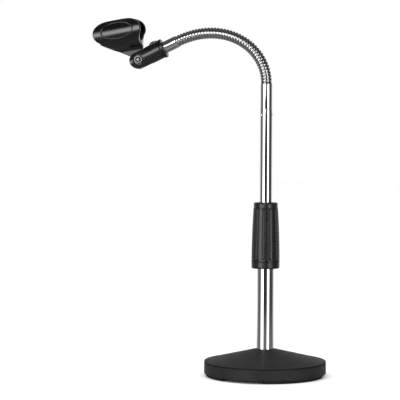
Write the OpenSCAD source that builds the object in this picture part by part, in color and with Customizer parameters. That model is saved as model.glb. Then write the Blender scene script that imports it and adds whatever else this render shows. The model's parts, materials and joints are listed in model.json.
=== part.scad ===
// Desktop microphone stand: weighted base, two tubes with a twist clutch, gooseneck and swivel clip.
// The origin is on the floor under the tube's axis. +Z is up and the gooseneck reaches towards -X.

/* [Base] */
// Diameter of the round base
base_d = 152; // [140:1:180]
// Height of the base's straight rim
rim_h = 14.2; // [11:0.1:16]
// Slope of the base's conical top, in degrees
cone_slope = 14.5; // [11:0.5:16]
// How far the rubber pads stand out below the casting
foot_h = 3.4; // [3.2:0.1:4]
// Angle that each of the three rubber pads covers
foot_arc = 77; // [50:1:100]

/* [Tubes] */
// Outside diameter of the fixed outer tube
outer_d = 21.4; // [21.2:0.1:22.2]
// Outside diameter of the sliding inner tube
inner_d = 15.6; // [15:0.1:16]
// Wall thickness of both tubes
tube_wall = 1; // [0.8:0.1:1.2]
// Height of the joint between inner tube and lower ferrule
inner_top_z = 332.2; // [325:0.1:340]
// Length of the inner tube
inner_len = 187; // [180:1:190]

/* [Clutch] */
// Height of the clutch's lower edge
clutch_z = 134.5; // [130:0.5:138]
// Height of the plain band under the grip
collar_h = 8; // [6:0.5:9]
// Length of the fluted part of the grip
flute_len = 65; // [60:1:68]
// Diameter of the grip at its lower end
grip_d = 35.4; // [34:0.1:38]
// Diameter of the grip at its upper end
grip_top_d = 30.6; // [30.4:0.1:32]
// Number of flutes round the grip
flute_count = 12; // [8:1:16]

/* [Gooseneck] */
// Number of links that stand for the coil
link_count = 8; // [6:1:10]
// Length of one link along the centreline
link_len = 18.5; // [16:0.5:20]
// Diameter of the coil
coil_d = 14; // [13:0.1:14.2]
// Rest bend of the first link, in degrees
bend_first = 19.2; // [15:0.1:22]
// Rest bend of the last link, in degrees
bend_last = 9.7; // [6:0.1:14]
// How far one joint can straighten, in degrees
straighten = 16.4; // [10:0.1:18]
// How far one joint can bend further, in degrees
bend_more = 5; // [2:0.5:8]

/* [Ferrules] */
// Diameter of the lower ferrule
lower_ferrule_d = 15.2; // [15.2:0.1:16]
// Length of the lower ferrule
lower_ferrule_len = 32.7; // [28:0.1:36]
// Diameter of the upper ferrule
upper_ferrule_d = 15; // [14.8:0.1:15.4]
// Visible length of the upper ferrule
upper_ferrule_len = 18.2; // [16:0.1:22]

/* [Clip] */
// Diameter of the swivel barrel
barrel_d = 23.2; // [23:0.1:25]
// Distance from the pivot to the barrel's flanged end
barrel_len = 34.8; // [33:0.1:38]
// Width of the fork's slot
slot_w = 9.2; // [8:0.1:9.6]
// Length of the clip along the microphone
clip_len = 62; // [58:1:64]
// Diameter of the round space that grips the microphone
mic_d = 28.4; // [27:0.1:29]
// Angle at which the clip rests above the horizontal
clip_rest = 10; // [0:1:14]
// Angle at which the lever rests above the horizontal
lever_rest = 56; // [40:1:70]

/* [Hidden] */
$fn = 64;

fit = 0.05;
far = 60;
black = [0.12, 0.12, 0.12];
chrome = [0.80, 0.81, 0.83];
steel = [0.62, 0.62, 0.64];

// Base
base_r = base_d / 2;
edge_r = 2;
rim_top_z = foot_h + rim_h;
hub_r = outer_d / 2 + 1.2;
hub_z = rim_top_z + (base_r - hub_r) * tan(cone_slope);
socket_z = 14;
boss_r = 15;
boss_z = 10.5;
hollow_r = 60;
hollow_edge_z = foot_h + 4.6;
base_wall = 10;
foot_w = 10.6;
foot_r = 62.9;
foot_groove = 1.2;
foot_turn = 36;
bolt_r = 4;
bolt_head_af = 13;
bolt_head_h = 5.3;
washer_t = 1.6;
lock_washer_t = 2;
plug_h = 16;
bolt_top_z = socket_z + 13;

// Tubes
outer_r = outer_d / 2;
outer_bore = outer_r - tube_wall;
inner_r = inner_d / 2;
inner_bore = inner_r - tube_wall;
inner_z = inner_top_z - inner_len;
crimp_z = inner_top_z - 7.2;
crimp_w = 0.8;
bush_flange = 6;
bush_spigot = 12;
tube_plug_h = 16;
stud_r = 4;
stud_sink = 12;
stud_rise = 12;

// Clutch
collar_top_z = clutch_z + collar_h;
collar_r = grip_d / 2 - 0.2;
collar_web = 2.5;
sleeve_r = 13.2;
outer_top_z = clutch_z + 61.5;
sleeve_lip = 2;
collet_z = outer_top_z + sleeve_lip;
collet_h = 13;
collet_flange_r = 11.8;
collet_taper_top_r = 9.4;
collet_slit = 1;
grip_z = collar_top_z + 0.1;
ridge_h = 2;
flute_z = grip_z + ridge_h;
flute_top_z = flute_z + flute_len;
grip_top_z = flute_top_z + 7;
flute_floor_r = 14.5;
flute_cut_r = 2.5;
flute_turn = -61;
grip_clear = 0.15;

// Gooseneck and ferrules
coil_r = coil_d / 2;
coil_core_r = 3.6;
ferrule_web = 15.8;
neck_z = inner_top_z + lower_ferrule_len;
notch_margin = 0.3;
notch_gap = 0.05;
tail_lap = 0.5;
upper_web = 6.2;
mic_thread_r = 7.9;
mic_thread_len = 16.5;
neck_to_pivot = upper_ferrule_len + fit + barrel_len;

// Clip
barrel_r = barrel_d / 2;
flange_r = barrel_r + 0.65;
flange_t = 4.5;
slot_floor = 12.5;
insert_r = 9.6;
insert_len = 17;
screw_r = 3;
nut_af = 10;
nut_t = 3.2;
nut_seat = 3.6;
nut_pocket_r = 6.45;
hub_seat = 1.4;
lever_hub_r = 6;
lever_len = 23;
lever_w = 9.5;
lever_t = 4;
lever_plane = 17.8;
washer_gap = 0.4;
tongue_t = slot_w - 2 * washer_gap - 2 * fit;
tongue_r = 10.3;
shell_half_w = 17;
shell_half_h = 20.8;
shell_mid = 36.6;
mic_axis = 38;
mouth_half_w = 8.5;
oval_mid = [-clip_len * 0.326, 39.3];
oval_half_h = 16.4;
oval_power = 2.3;
panel_half = [20.5, 10];
panel_mid = [-19.9, 40.3];
panel_depth = 0.8;

// Bend of link i, its heading from +Z towards -X, its radius and its start point in the XZ plane
function link_bend(i) = bend_first + (bend_last - bend_first) * i / (link_count - 1);
function heading(i) = i == 0 ? 0 : heading(i - 1) + link_bend(i - 1);
function link_r(i) = link_len * 180 / (PI * link_bend(i));
function link_step(i) = link_r(i) * [
    cos(heading(i + 1)) - cos(heading(i)),
    sin(heading(i + 1)) - sin(heading(i))
];
function link_start(i) = i == 0 ? [0, neck_z] : link_start(i - 1) + link_step(i - 1);

// Points of a superellipse, which is an ellipse when the power is 2
function bulge(v, power) = sign(v) * pow(abs(v), 2 / power);
function oval(half, mid, power, count = 72) = [
    for (i = [0:count - 1])
        [
            mid[0] + half[0] * bulge(cos(360 * i / count), power),
            mid[1] + half[1] * bulge(sin(360 * i / count), power)
        ]
];

module at_link(i) {
    translate([link_start(i)[0], 0, link_start(i)[1]])
        rotate([0, -heading(i), 0])
            children();
}

// The pivot's frame with +X along the barrel, towards the gooseneck
module at_barrel() {
    at_link(link_count)
        translate([0, 0, neck_to_pivot])
            rotate([0, 90, 0])
                children();
}

// The pivot's frame turned so that +X lies at an angle above the horizontal
module at_pivot(angle) {
    at_link(link_count)
        translate([0, 0, neck_to_pivot])
            rotate([0, heading(link_count) - angle, 0])
                children();
}

module ring(r_out, r_in, h) {
    difference() {
        cylinder(r = r_out, h = h);
        translate([0, 0, -1])
            cylinder(r = r_in, h = h + 2);
    }
}

module along_x() {
    rotate([0, 90, 0])
        children();
}

// Turns a shape drawn in XY, extruded along Z, so that it lies in XZ and is centred on Y
module along_y(thickness) {
    rotate([90, 0, 0])
        linear_extrude(height = thickness, center = true)
            children();
}

module base_outline() {
    difference() {
        polygon([
            [0, foot_h], [base_r - 0.8, foot_h], [base_r, foot_h + 0.8],
            [base_r, rim_top_z - edge_r * 0.8], [base_r - edge_r * 0.8, rim_top_z],
            [hub_r, hub_z], [0, hub_z]
        ]);
        polygon([
            [-1, 0], [-1, boss_z], [boss_r, boss_z], [boss_r + 3, hub_z - base_wall - 4],
            [hollow_r, hollow_edge_z], [hollow_r, 0]
        ]);
    }
}

module base_casting() {
    color(black)
    difference() {
        rotate_extrude()
            base_outline();
        translate([0, 0, socket_z])
            cylinder(r = outer_r + fit, h = far);
        cylinder(r = bolt_r + 0.3, h = far);
        translate([0, 0, foot_h - 1])
            ring(foot_r + foot_w + fit, foot_r - fit, foot_groove + 1);
    }
}

module foot_pad(turn) {
    color([0.06, 0.06, 0.06])
    rotate([0, 0, foot_turn + turn])
        rotate_extrude(angle = foot_arc)
            translate([foot_r, 0])
                square([foot_w, foot_h + foot_groove]);
}

module right_foot_pad() {
    foot_pad(240);
}

module left_foot_pad() {
    foot_pad(120);
}

module rear_foot_pad() {
    foot_pad(0);
}

module base_bolt() {
    head_top_z = boss_z - washer_t - lock_washer_t;
    color(steel) {
        translate([0, 0, head_top_z - bolt_head_h])
            cylinder(r = bolt_head_af / 2 / cos(30), h = bolt_head_h, $fn = 6);
        translate([0, 0, head_top_z])
            cylinder(r = bolt_r, h = bolt_top_z - head_top_z);
    }
}

module base_washer() {
    color(steel)
    translate([0, 0, boss_z - washer_t])
        ring(9, bolt_r + 0.3, washer_t);
}

module base_lock_washer() {
    color(steel)
    translate([0, 0, boss_z - washer_t - lock_washer_t])
        rotate_extrude(angle = 350)
            translate([bolt_r + 0.3, 0])
                square([3, lock_washer_t]);
}

module base_plug() {
    color(steel)
    translate([0, 0, socket_z])
        ring(outer_bore, bolt_r + fit, plug_h);
}

module outer_tube() {
    color(chrome)
    translate([0, 0, socket_z])
        ring(outer_r, outer_bore, outer_top_z - socket_z);
}

module clutch_collar() {
    color(black)
    difference() {
        translate([0, 0, clutch_z])
            rotate_extrude()
                polygon([
                    [0, 0], [collar_r - 1.4, 0], [collar_r - 0.4, 0.4], [collar_r, 1.4],
                    [collar_r, collar_h - 0.5], [collar_r - 0.5, collar_h], [0, collar_h]
                ]);
        cylinder(r = outer_r + fit, h = far * 4);
        translate([0, 0, clutch_z + collar_web])
            cylinder(r = sleeve_r, h = far);
    }
}

module clutch_sleeve() {
    sleeve_z = clutch_z + collar_web;
    color(steel) {
        translate([0, 0, sleeve_z])
            ring(sleeve_r, outer_r, outer_top_z - sleeve_z);
        translate([0, 0, outer_top_z])
            ring(sleeve_r, inner_r + 0.5, sleeve_lip);
    }
}

module clutch_collet() {
    color([0.85, 0.85, 0.80])
    translate([0, 0, collet_z])
        difference() {
            rotate_extrude()
                polygon([
                    [inner_r + fit, 0], [collet_flange_r, 0], [collet_flange_r, 1.5],
                    [collet_flange_r - 0.5, 1.5], [collet_taper_top_r, collet_h],
                    [inner_r + fit, collet_h]
                ]);
            for (turn = [0, 90])
                rotate([0, 0, turn])
                    translate([-far, -collet_slit / 2, 3])
                        cube([2 * far, collet_slit, collet_h]);
        }
}

module grip_outline() {
    top_r = grip_top_d / 2;
    polygon([
        [0, grip_z], [grip_d / 2, grip_z], [grip_d / 2, flute_z],
        [grip_d / 2 - 0.2, flute_z + 2],
        [grip_d / 2 - 0.9, flute_z + flute_len * 0.35],
        [top_r + 0.9, flute_z + flute_len * 0.72],
        [top_r, flute_top_z],
        [top_r - 0.3, grip_top_z - 3.2],
        [top_r - 0.8, grip_top_z - 1],
        [top_r - 1.8, grip_top_z],
        [0, grip_top_z]
    ]);
}

// The grip's inside: a bore round the sleeve, a taper round the collet and a hole for the inner tube
module grip_cavity() {
    bore_r = sleeve_r + fit;
    step_r = collet_flange_r + grip_clear;
    taper_z = collet_z + collet_h + fit;
    hole_r = inner_r + 0.35;
    polygon([
        [-1, grip_z - 1], [bore_r, grip_z - 1], [bore_r, collet_z + fit],
        [step_r, collet_z + fit], [step_r, collet_z + 1.8],
        [collet_taper_top_r + grip_clear, taper_z], [hole_r, taper_z],
        [hole_r, grip_top_z + 1], [-1, grip_top_z + 1]
    ]);
}

module clutch_grip() {
    color([0.17, 0.17, 0.17])
    difference() {
        rotate_extrude()
            difference() {
                grip_outline();
                grip_cavity();
            }
        for (i = [0:flute_count - 1])
            rotate([0, 0, i * 360 / flute_count + flute_turn])
                translate([flute_floor_r + flute_cut_r, 0, flute_z + 0.3])
                    cylinder(r = flute_cut_r, h = flute_len - 0.6);
    }
}

module guide_bush() {
    color([0.88, 0.88, 0.84])
    difference() {
        union() {
            translate([0, 0, inner_z - bush_flange])
                cylinder(r = outer_bore - fit, h = bush_flange);
            translate([0, 0, inner_z])
                cylinder(r = inner_bore - fit, h = bush_spigot);
        }
        cylinder(r = 3, h = far * 5);
    }
}

module inner_tube() {
    color(chrome)
    difference() {
        translate([0, 0, inner_z])
            ring(inner_r, inner_bore, inner_len);
        translate([0, 0, crimp_z])
            rotate_extrude()
                translate([inner_r + crimp_w * 0.4, 0])
                    circle(r = crimp_w);
    }
}

module tube_plug() {
    color(steel)
    translate([0, 0, inner_top_z - tube_plug_h])
        difference() {
            cylinder(r = inner_bore, h = tube_plug_h);
            translate([0, 0, tube_plug_h - stud_sink])
                cylinder(r = stud_r + fit, h = far);
        }
}

module ferrule_stud() {
    color(steel)
    translate([0, 0, inner_top_z - stud_sink])
        cylinder(r = stud_r, h = stud_sink + stud_rise);
}

module lower_ferrule() {
    color(chrome)
    translate([0, 0, inner_top_z])
        difference() {
            cylinder(r = lower_ferrule_d / 2, h = lower_ferrule_len);
            translate([0, 0, -1])
                cylinder(r = stud_r + fit, h = far);
            translate([0, 0, ferrule_web])
                cylinder(r = coil_r + fit, h = far);
        }
}

// What is cut away under a link's start, so that it can roll on its neighbour both ways
module notch() {
    for (side = [-straighten / 2 - notch_margin, bend_more / 2 + notch_margin])
        rotate([0, side, 0])
            translate([-far / 2, -far / 2, notch_gap - far])
                cube([far, far, far]);
}

module gooseneck_link(number) {
    i = number - 1;
    bend = link_bend(i);
    color([0.72, 0.73, 0.75])
    at_link(i)
        difference() {
            translate([-link_r(i), 0, 0])
                rotate([90, 0, 0])
                    rotate_extrude(angle = bend)
                        translate([link_r(i), 0])
                            difference() {
                                circle(r = coil_r);
                                circle(r = coil_core_r);
                            }
            if (number > 1)
                notch();
            if (number < link_count)
                translate([-link_r(i), 0, 0])
                    rotate([0, -bend, 0])
                        translate([link_r(i), 0, 0])
                            mirror([0, 0, 1])
                                notch();
        }
}

// The coil's straight end inside a ferrule, which laps into its link
module coil_tail(len) {
    color([0.72, 0.73, 0.75])
    translate([0, 0, -tail_lap])
        ring(coil_r - 0.1, coil_core_r + 0.1, len + tail_lap);
}

module gooseneck_link_1() {
    gooseneck_link(1);
    translate([0, 0, neck_z])
        mirror([0, 0, 1])
            coil_tail(lower_ferrule_len - ferrule_web);
}

module gooseneck_link_8() {
    gooseneck_link(8);
    at_link(link_count)
        coil_tail(upper_ferrule_len - upper_web);
}

module upper_ferrule() {
    color(chrome)
    at_link(link_count)
        difference() {
            cylinder(r = upper_ferrule_d / 2, h = upper_ferrule_len);
            translate([0, 0, -1])
                cylinder(r = coil_r + fit, h = upper_ferrule_len - upper_web + 1);
            cylinder(r = stud_r, h = far);
        }
}

module thread_stud() {
    color(steel)
    at_link(link_count) {
        translate([0, 0, upper_ferrule_len - upper_web])
            cylinder(r = stud_r, h = upper_web);
        translate([0, 0, upper_ferrule_len])
            cylinder(r = mic_thread_r, h = mic_thread_len);
    }
}

module clip_barrel() {
    color(black)
    at_barrel()
        difference() {
            union() {
                intersection() {
                    translate([-barrel_r, 0, 0])
                        along_x()
                            cylinder(r = barrel_r, h = barrel_r + barrel_len - flange_t / 2);
                    union() {
                        rotate([90, 0, 0])
                            cylinder(r = barrel_r, h = far, center = true);
                        translate([0, -far / 2, -far / 2])
                            cube([far, far, far]);
                    }
                }
                translate([barrel_len - flange_t, 0, 0])
                    along_x()
                        rotate_extrude()
                            polygon([
                                [0, 0], [flange_r - 0.6, 0], [flange_r, 0.6],
                                [flange_r, flange_t - 1.6], [flange_r - 0.5, flange_t - 0.5],
                                [flange_r - 1.6, flange_t], [0, flange_t]
                            ]);
            }
            translate([-far + slot_floor, -slot_w / 2, -far / 2])
                cube([far, slot_w, far]);
            translate([barrel_len - insert_len, 0, 0])
                along_x()
                    cylinder(r = insert_r, h = far);
            rotate([90, 0, 0])
                cylinder(r = screw_r + fit, h = far, center = true);
            translate([0, nut_seat - barrel_r, 0])
                rotate([90, 0, 0])
                    cylinder(r = nut_pocket_r, h = far);
            translate([0, barrel_r - hub_seat, 0])
                rotate([-90, 0, 0])
                    cylinder(r = lever_hub_r + 0.5, h = far);
        }
}

module thread_insert() {
    color([0.78, 0.65, 0.35])
    at_barrel()
        translate([barrel_len - insert_len, 0, 0])
            along_x()
                ring(insert_r, mic_thread_r + fit, insert_len);
}

module friction_washers() {
    color([0.2, 0.2, 0.2])
    at_barrel()
        for (y = [-slot_w / 2, slot_w / 2 - washer_gap])
            translate([0, y, 0])
                rotate([-90, 0, 0])
                    ring(8, screw_r + fit, washer_gap);
}

module pivot_nut() {
    color(steel)
    at_barrel()
        translate([0, nut_seat - barrel_r, 0])
            rotate([90, 0, 0])
                difference() {
                    cylinder(r = nut_af / 2 / cos(30), h = nut_t, $fn = 6);
                    translate([0, 0, -1])
                        cylinder(r = screw_r + fit, h = nut_t + 2);
                }
}

module pivot_screw() {
    tip = 0.8;
    body_end = -barrel_r + 0.4;
    color(steel)
    at_pivot(lever_rest) {
        translate([0, body_end, 0])
            rotate([-90, 0, 0])
                cylinder(r = screw_r, h = lever_plane - body_end);
        translate([0, body_end - tip, 0])
            rotate([-90, 0, 0])
                cylinder(r1 = screw_r - 1.2, r2 = screw_r, h = tip);
    }
}

module screw_lever() {
    hub_y = barrel_r - hub_seat + fit;
    color(black)
    at_pivot(lever_rest)
        difference() {
            union() {
                translate([0, hub_y, 0])
                    rotate([-90, 0, 0])
                        cylinder(r = lever_hub_r, h = lever_plane + lever_t - hub_y);
                translate([lever_len, lever_plane, 0])
                    rotate([-90, 0, 0])
                        cylinder(r = lever_w / 2, h = lever_t);
                translate([0, lever_plane, -lever_w / 2])
                    cube([lever_len, lever_t, lever_w]);
            }
            rotate([-90, 0, 0])
                cylinder(r = screw_r, h = lever_plane);
        }
}

// Side view of the clip: the oval walls and the keel that runs down to the tongue
module clip_side() {
    polygon(oval([clip_len / 2, oval_half_h], oval_mid, oval_power));
    keel();
}

module keel() {
    polygon([[-37.4, 24.8], [-8.4, 5.9], [5.6, 8], [5.8, 20], [6, 28], [-20, 34]]);
}

module clip_body() {
    color(black)
    at_pivot(clip_rest)
        difference() {
            union() {
                intersection() {
                    translate([-far * 1.5, 0, 0])
                        rotate([90, 0, 90])
                            linear_extrude(height = far * 2)
                                polygon(oval([shell_half_w, shell_half_h], [0, shell_mid], 2));
                    along_y(far)
                        clip_side();
                }
                along_y(tongue_t)
                    keel();
                rotate([90, 0, 0])
                    cylinder(r = tongue_r, h = tongue_t, center = true);
            }
            translate([-far * 1.5, 0, mic_axis])
                along_x()
                    cylinder(r = mic_d / 2, h = far * 2);
            translate([-far * 1.5, -mouth_half_w, mic_axis])
                cube([far * 2, 2 * mouth_half_w, far]);
            rotate([90, 0, 0])
                cylinder(r = screw_r + fit, h = far, center = true);
            difference() {
                along_y(far)
                    polygon(oval(panel_half, panel_mid, 2));
                translate([-far * 1.5, 0, 0])
                    rotate([90, 0, 90])
                        linear_extrude(height = far * 2)
                            polygon(oval(
                                [shell_half_w - panel_depth, shell_half_h - panel_depth],
                                [0, shell_mid], 2
                            ));
            }
        }
}

base_casting();
left_foot_pad();
right_foot_pad();
rear_foot_pad();
base_bolt();
base_washer();
base_lock_washer();
base_plug();
outer_tube();
clutch_collar();
clutch_sleeve();
clutch_collet();
clutch_grip();
guide_bush();
inner_tube();
tube_plug();
ferrule_stud();
lower_ferrule();
gooseneck_link_1();
gooseneck_link(2);  // gooseneck_link_2
gooseneck_link(3);  // gooseneck_link_3
gooseneck_link(4);  // gooseneck_link_4
gooseneck_link(5);  // gooseneck_link_5
gooseneck_link(6);  // gooseneck_link_6
gooseneck_link(7);  // gooseneck_link_7
gooseneck_link_8();
upper_ferrule();
thread_stud();
clip_barrel();
thread_insert();
friction_washers();
pivot_nut();
pivot_screw();
screw_lever();
clip_body();
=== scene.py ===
"""Looks of a desktop microphone stand: round base, two tubes with a twist clutch, gooseneck and swivel clip.

Shapes are worked out in millimetres and put in metres by make_piece. A shape is a pair: points and faces.
"""
import json
import math

import bpy
import numpy as np
from mathutils import Matrix, Vector

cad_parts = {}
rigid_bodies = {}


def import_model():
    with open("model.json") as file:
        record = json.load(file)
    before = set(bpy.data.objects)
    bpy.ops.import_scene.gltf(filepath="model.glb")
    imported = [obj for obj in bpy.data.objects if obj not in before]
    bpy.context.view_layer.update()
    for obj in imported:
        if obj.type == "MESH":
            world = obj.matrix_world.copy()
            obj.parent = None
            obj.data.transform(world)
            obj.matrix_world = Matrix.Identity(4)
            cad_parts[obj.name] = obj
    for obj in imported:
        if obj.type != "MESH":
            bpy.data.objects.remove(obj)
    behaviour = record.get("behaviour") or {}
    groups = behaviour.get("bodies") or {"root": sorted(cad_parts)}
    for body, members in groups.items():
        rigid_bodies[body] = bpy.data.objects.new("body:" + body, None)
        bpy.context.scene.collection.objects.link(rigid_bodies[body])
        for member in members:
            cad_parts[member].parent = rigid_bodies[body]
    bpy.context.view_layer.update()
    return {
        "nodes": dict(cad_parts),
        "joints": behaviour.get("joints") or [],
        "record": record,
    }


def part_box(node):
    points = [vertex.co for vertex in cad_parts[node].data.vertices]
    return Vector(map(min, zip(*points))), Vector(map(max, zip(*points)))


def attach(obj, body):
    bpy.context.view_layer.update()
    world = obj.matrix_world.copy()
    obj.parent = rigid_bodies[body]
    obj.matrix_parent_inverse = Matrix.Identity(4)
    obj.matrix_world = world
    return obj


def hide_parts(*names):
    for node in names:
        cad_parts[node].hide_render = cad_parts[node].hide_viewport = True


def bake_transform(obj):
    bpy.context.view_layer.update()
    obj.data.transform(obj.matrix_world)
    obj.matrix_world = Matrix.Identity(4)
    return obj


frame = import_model()

MM = 0.001
# Sides of a solid of revolution, and degrees in each step of a rounded corner
SEGMENTS = 144
ARC_STEP = 10
# Gap between a piece and the bore round it
FIT = 0.05
JOINTS = {joint["name"]: joint for joint in frame["joints"]}


def low(node):
    """Lowest corner of a CAD node, in millimetres."""
    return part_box(node)[0] / MM


def high(node):
    """Highest corner of a CAD node, in millimetres."""
    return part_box(node)[1] / MM


def round_size(node):
    """Radius, bottom and top of an upright round CAD node."""
    return high(node).x, low(node).z, high(node).z


def add_object(name, data):
    """New object in the scene."""
    made = bpy.data.objects.new(name, data)
    bpy.context.scene.collection.objects.link(made)
    return made


# ---- camera, light and floor

# Lengths here are in metres; turns are to the right, from straight in front
CAMERA_TURN = math.radians(9)
CAMERA_AWAY = 2.3
CAMERA_HEIGHT = 0.333
CAMERA_AIM = (-0.0833, 0, 0.2184)
CAMERA_ROLL = math.radians(0.2)
CAMERA_LENS = 166.7
SOFTBOX_AWAY = 1.6
SOFTBOX_HEIGHT = 0.45
SOFTBOX_POWER = 5
OVERHEAD_PLACE = (-0.3, -0.5, 1.9)
OVERHEAD_POWER = 12
FLOOR_REACH = 6.0
# Brightness of the studio's panels in the gloss, of the room on matt surfaces, and of the backdrop
PANEL_LEVEL = 4.0
KEY_LEVEL = 5.5
MATT_LEVEL = 1.15
BACKDROP_LEVEL = 1.0


def add_camera():
    """Long lens in front, turned a little to the right."""
    data = bpy.data.cameras.new("camera")
    data.lens = CAMERA_LENS
    camera = add_object("camera", data)
    sideways, back = math.sin(CAMERA_TURN), math.cos(CAMERA_TURN)
    camera.location = (CAMERA_AWAY * sideways, -CAMERA_AWAY * back, CAMERA_HEIGHT)
    aim = (Vector(CAMERA_AIM) - camera.location).to_track_quat("-Z", "Y").to_matrix()
    roll = Matrix.Rotation(CAMERA_ROLL, 3, "Z")
    camera.rotation_euler = (aim @ roll).to_euler()
    bpy.context.scene.camera = camera


def add_light(name, location, target, energy, **shape):
    """Area light that shapes the matt surfaces; the room's panels stand for it in the gloss."""
    data = bpy.data.lights.new(name, "AREA")
    data.energy = energy
    for key, value in shape.items():
        setattr(data, key, value)
    light = add_object(name, data)
    light.location = location
    light.rotation_euler = (Vector(target) - Vector(location)).to_track_quat("-Z", "Y").to_euler()
    light.visible_camera = False
    light.visible_glossy = False


def add_lights():
    """Two upright softboxes beside the camera and a broad soft light above."""
    for name, turn in (("left_softbox", -38), ("right_softbox", 37)):
        angle = CAMERA_TURN + math.radians(turn)
        location = (SOFTBOX_AWAY * math.sin(angle), -SOFTBOX_AWAY * math.cos(angle), SOFTBOX_HEIGHT)
        target = (0, 0, SOFTBOX_HEIGHT)
        add_light(name, location, target, SOFTBOX_POWER, shape="RECTANGLE", size=1.0, size_y=0.9)
    add_light("overhead", OVERHEAD_PLACE, (0, 0, 0.2), OVERHEAD_POWER, shape="DISK", size=1.6)


def turn_stops(*stops):
    """Ramp stops at degrees round from the camera's side, positive to the right."""
    return [(degrees / 360 + 0.5, level) for degrees, level in stops]


def height_stops(*stops):
    """Ramp stops at degrees above the horizontal."""
    return [(degrees / 180 + 0.5, level) for degrees, level in stops]


def bright_panel(tree, turn, height, sideways, upright, level):
    """Panel of light with soft edges; sideways and upright are ramp stops."""
    shape = tree.calculate("MULTIPLY", tree.ramp(turn, sideways), tree.ramp(height, upright))
    return tree.calculate("MULTIPLY", shape, level)


def studio(tree, turn, height):
    """What the gloss sees: a dark studio with two tall bright panels in front, a smaller one high on the
    left, a pale backdrop behind and a grey table below."""
    tall = bright_panel(
        tree, turn, height,
        turn_stops((-60, 0), (-56, 1), (-29, 1), (-26, 0), (24, 0), (27, 1), (48, 1), (52, 0)),
        height_stops((-16, 0), (-12, 1), (13, 1), (20, 0)),
        PANEL_LEVEL,
    )
    key = bright_panel(
        tree, turn, height,
        turn_stops((-30, 0), (-26, 1), (-12, 1), (-8, 0)),
        height_stops((-3, 0), (8, 1), (23, 1), (31, 0)),
        KEY_LEVEL,
    )
    sides = tree.ramp(turn, turn_stops(
        (-180, 0.9), (-124, 0.85), (-110, 0.15), (-60, 0.12), (-18, 0.04),
        (17, 0.04), (60, 0.06), (112, 0.07), (128, 0.85), (180, 0.9),
    ))
    middle = tree.ramp(height, height_stops((-11, 0), (-6, 1), (14, 1), (34, 0)))
    ends = tree.ramp(height, height_stops((-60, 0.26), (-9, 0.18), (0, 0.04), (60, 0.09), (76, 0.2)))
    return tree.calculate("ADD", tree.mix(middle, ends, sides), tree.calculate("MAXIMUM", tall, key))


def add_room():
    """Even pale light on matt surfaces, a studio for the gloss, and a white backdrop behind the object."""
    world = bpy.data.worlds.new("room")
    world.use_nodes = True
    world.cycles.sampling_method = "NONE"
    bpy.context.scene.world = world
    tree = Graph(world.node_tree)
    direction = tree.add("ShaderNodeTexCoord").outputs["Generated"]
    ahead = (math.sin(CAMERA_TURN), -math.cos(CAMERA_TURN), 0)
    right = (math.cos(CAMERA_TURN), math.sin(CAMERA_TURN), 0)
    turn = tree.calculate("ARCTAN2", tree.dot(direction, right), tree.dot(direction, ahead))
    turn = tree.calculate("MULTIPLY_ADD", turn, 0.5 / math.pi, 0.5)
    height = tree.calculate("ARCSINE", tree.dot(direction, (0, 0, 1)))
    height = tree.calculate("MULTIPLY_ADD", height, 1 / math.pi, 0.5)
    path = tree.add("ShaderNodeLightPath")
    seen = tree.mix(path.outputs["Is Glossy Ray"], MATT_LEVEL, studio(tree, turn, height))
    seen = tree.mix(path.outputs["Is Camera Ray"], seen, BACKDROP_LEVEL)
    tree.link(seen, world.node_tree.nodes["Background"].inputs["Color"])


def add_floor():
    """Pale floor that doesn't show in the gloss."""
    corners = [(x * FLOOR_REACH, y * FLOOR_REACH, 0) for x, y in ((-1, -1), (1, -1), (1, 1), (-1, 1))]
    mesh = bpy.data.meshes.new("floor")
    mesh.from_pydata(corners, [], [(0, 1, 2, 3)])
    paint = bpy.data.materials.new("pale_floor")
    paint.use_nodes = True
    tree = Graph(paint.node_tree)
    place = tree.add("ShaderNodeTexCoord").outputs["Object"]
    tree.link(tree.mix(tree.noise(place, 400), 0.90, 0.92), tree.principled.inputs["Base Color"])
    tree.principled.inputs["Roughness"].default_value = 0.9
    mesh.materials.append(paint)
    floor = add_object("floor", mesh)
    floor.visible_glossy = False


# ---- materials


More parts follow.
